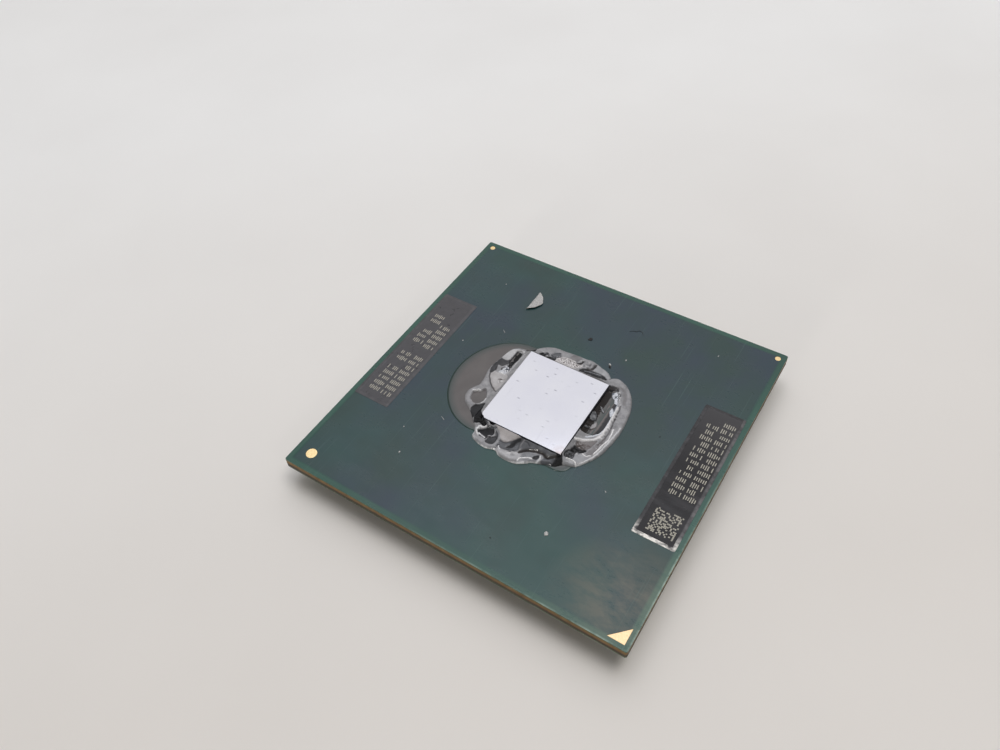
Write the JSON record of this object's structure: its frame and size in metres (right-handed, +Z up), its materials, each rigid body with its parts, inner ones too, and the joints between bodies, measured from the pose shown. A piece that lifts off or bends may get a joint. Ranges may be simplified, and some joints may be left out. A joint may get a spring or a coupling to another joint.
{
  "type": "pin-grid processor package",
  "caption": "Square laminated processor package with a bare silicon die on top, chip capacitors underneath and a ring-shaped field of thin gold contact pins.",
  "frame": {"origin": "in the plane of the pin tips, under the middle of the square package", "axes": "+Z up from the pins to the die; +X the reading direction of the marking panels; +Y the markings' upright; pin A1's corner is at -X -Y"},
  "size_m": [0.035, 0.035, 0.0041],
  "materials": {
    "laminate": "sawn amber glass-epoxy",
    "build_up": "dull green-brown resin",
    "copper": "smooth copper",
    "solder_mask": "semi-gloss dark green lacquer",
    "gold": "gold plated",
    "silicon": "polished silicon",
    "solder": "dull tin-lead",
    "underfill": "smooth cured epoxy",
    "thermal_compound": "set silver-grey paste",
    "marking": "matt printed block",
    "ceramic": "brown ceramic with tinned ends"
  },
  "bodies": {
    "root": {"core_laminate": "laminate", "build_up_top": "build_up", "build_up_bottom": "build_up", "copper_plane_top": "copper", "copper_plane_bottom": "copper", "solder_mask_top": "solder_mask", "solder_mask_bottom": "solder_mask", "fiducial_disc": "gold", "fiducial_dot_upper": "gold", "fiducial_dot_lower": "gold", "pin_one_triangle": "gold", "silicon_die": "silicon", "solder_bump_array": "solder", "underfill": "underfill", "thermal_compound_ring": "thermal_compound", "marking_panel_upper": "marking", "marking_panel_lower": "marking", "pin_row_A": "gold", "pin_row_B": "gold", "pin_row_C": "gold", "pin_row_D": "gold", "pin_row_E": "gold", "pin_row_F": "gold", "pin_row_AA": "gold", "pin_row_AB": "gold", "pin_row_AC": "gold", "pin_row_AD": "gold", "pin_row_AE": "gold", "pin_row_AF": "gold", "pin_column_1": "gold", "pin_column_2": "gold", "pin_column_3": "gold", "pin_column_4": "gold", "pin_column_5": "gold", "pin_column_6": "gold", "pin_column_21": "gold", "pin_column_22": "gold", "pin_column_23": "gold", "pin_column_24": "gold", "pin_column_25": "gold", "pin_column_26": "gold", "capacitor_01": "ceramic", "capacitor_02": "ceramic", "capacitor_03": "ceramic", "capacitor_04": "ceramic", "capacitor_05": "ceramic", "capacitor_06": "ceramic", "capacitor_07": "ceramic", "capacitor_08": "ceramic", "capacitor_09": "ceramic", "capacitor_10": "ceramic", "capacitor_11": "ceramic", "capacitor_12": "ceramic", "capacitor_13": "ceramic", "capacitor_14": "ceramic", "capacitor_15": "ceramic", "capacitor_16": "ceramic", "capacitor_17": "ceramic", "capacitor_18": "ceramic"}
  },
  "joints": []
}
